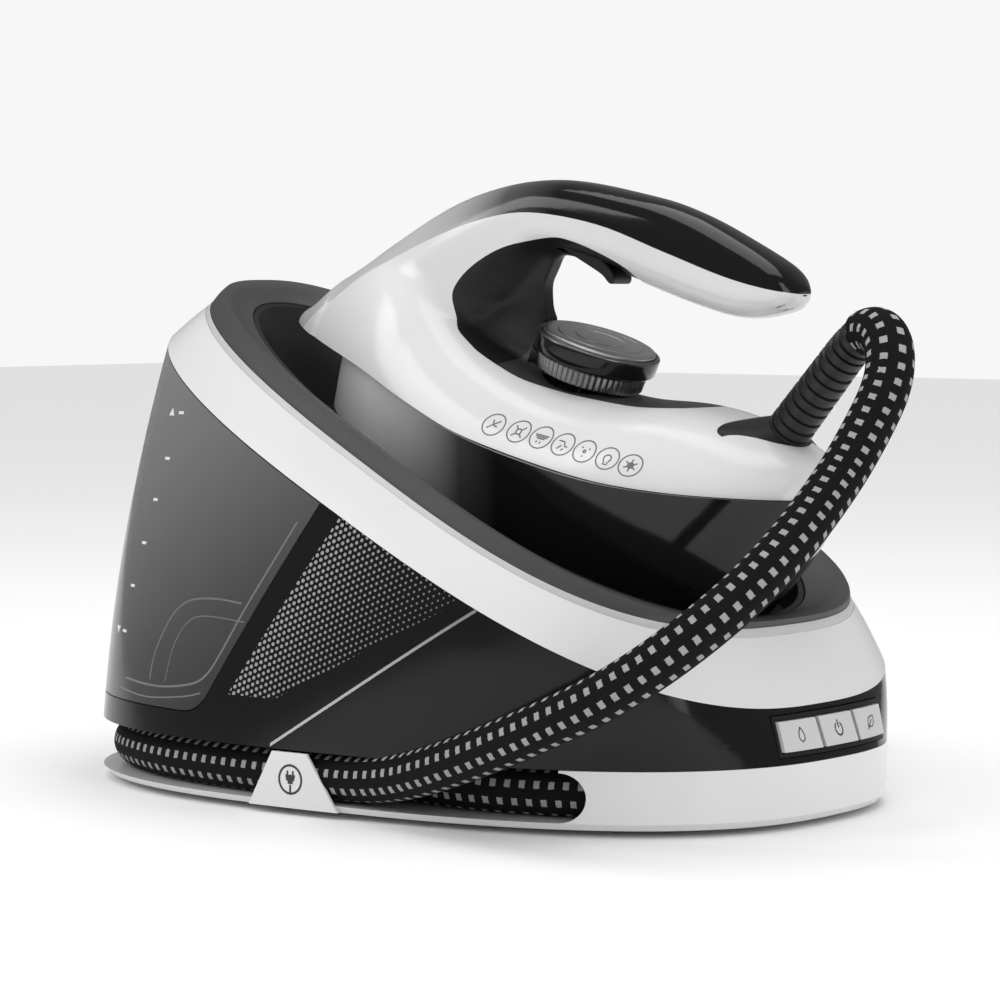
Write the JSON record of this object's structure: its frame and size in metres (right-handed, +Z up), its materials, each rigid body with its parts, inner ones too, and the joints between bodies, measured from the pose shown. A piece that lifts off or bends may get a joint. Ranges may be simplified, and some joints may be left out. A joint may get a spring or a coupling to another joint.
{
  "type": "steam generator iron",
  "caption": "Steam generator iron: white and black base with a smoked water tank and sloping rest, a hand iron on it, and a braided steam hose.",
  "frame": {"origin": "centre of the base's footprint, on the surface the feet stand on", "axes": "+Z up, +X towards the control panel and the iron's heel, -X towards the water tank"},
  "size_m": [0.4303, 0.3926, 0.278],
  "materials": {
    "white_shell": "gloss",
    "black_shell": "gloss",
    "deck_grey": "matte",
    "trim_grey": "satin",
    "tank_smoke": "gloss",
    "inner_plastic": "matte",
    "black_matte": "matte",
    "button_grey": "satin",
    "sole_steel": "satin",
    "bright_metal": "gloss",
    "cast_alloy": "satin",
    "brass_fitting": "satin",
    "rubber_black": "matte",
    "silicone": "matte",
    "hose_braid": "matte",
    "lens": "gloss",
    "board_green": "satin"
  },
  "bodies": {
    "base": {"base_pan": "white_shell", "hose_clip_tab": "white_shell", "housing_shell": "black_shell", "accent_strips": "bright_metal", "panel_bezel": "black_matte", "top_ring": "white_shell", "ring_trim": "trim_grey", "rest_deck": "deck_grey", "rest_tub": "black_matte", "rest_pads": "silicone", "tank_seat": "inner_plastic", "boiler": "sole_steel", "boiler_heater": "brass_fitting", "boiler_bracket": "cast_alloy", "boiler_thermostat": "inner_plastic", "pump": "inner_plastic", "solenoid_valve": "brass_fitting", "steam_pipe": "bright_metal", "water_pipe": "silicone", "control_board": "board_green", "button_switches": "black_matte", "feet": "rubber_black", "base_screws": "bright_metal", "hose_outlet": "black_matte", "mains_gland": "rubber_black", "hose_base_side": "hose_braid"},
    "tank": {"water_tank": "tank_smoke", "tank_flap_pin": "bright_metal", "tank_valve": "inner_plastic", "tank_seal": "rubber_black", "tank_filter": "tank_smoke"},
    "tank_flap": {"tank_flap": "tank_smoke"},
    "iron": {"soleplate": "sole_steel", "steam_chamber": "cast_alloy", "iron_skirt": "black_shell", "iron_shell": "white_shell", "handle_cover": "black_shell", "handle_insert": "black_matte", "trigger_pin": "bright_metal", "steam_switch": "black_matte", "dial_plate": "deck_grey", "iron_thermostat": "inner_plastic", "indicator_lens": "lens", "boot_gland": "rubber_black", "hose_boot": "rubber_black", "iron_screws": "bright_metal", "hose_iron_side": "hose_braid"},
    "trigger": {"steam_trigger": "black_matte"},
    "dial": {"dial_knob": "black_matte", "dial_cap": "trim_grey", "dial_shaft": "bright_metal"},
    "clean_key": {"button_clean": "button_grey"},
    "power_key": {"button_power": "button_grey"},
    "eco_key": {"button_eco": "button_grey"}
  },
  "joints": [
    {"name": "iron_lift", "type": "slide", "parent": "base", "child": "iron", "axis": [0, 0, 1], "range_m": [0, 0.07]},
    {"name": "tank_pull", "type": "slide", "parent": "base", "child": "tank", "axis": [-1, 0, 0], "range_m": [0, 0.12]},
    {"name": "tank_flap_turn", "type": "hinge", "parent": "tank", "child": "tank_flap", "pos_m": [-0.175, 0, 0.1826], "axis": [0, 1, 0], "range_deg": [0, 75]},
    {"name": "steam_trigger_press", "type": "hinge", "parent": "iron", "child": "trigger", "pos_m": [0.04419, 0, 0.25187], "axis": [0, -1, 0], "range_deg": [0, 6], "stiffness_Nm_per_rad": 0.5, "springref_deg": -2.86},
    {"name": "dial_turn", "type": "hinge", "parent": "iron", "child": "dial", "pos_m": [0.06234, 0, 0.20703], "axis": [0.3256, 0, 0.9455], "range_deg": [-135, 135]},
    {"name": "clean_press", "type": "slide", "parent": "base", "child": "clean_key", "axis": [-1, 0, 0], "range_m": [0, 0.0012], "stiffness_N_per_m": 700, "springref_m": -0.0006},
    {"name": "power_press", "type": "slide", "parent": "base", "child": "power_key", "axis": [-1, 0, 0], "range_m": [0, 0.0012], "stiffness_N_per_m": 700, "springref_m": -0.0006},
    {"name": "eco_press", "type": "slide", "parent": "base", "child": "eco_key", "axis": [-1, 0, 0], "range_m": [0, 0.0012], "stiffness_N_per_m": 700, "springref_m": -0.0006}
  ]
}
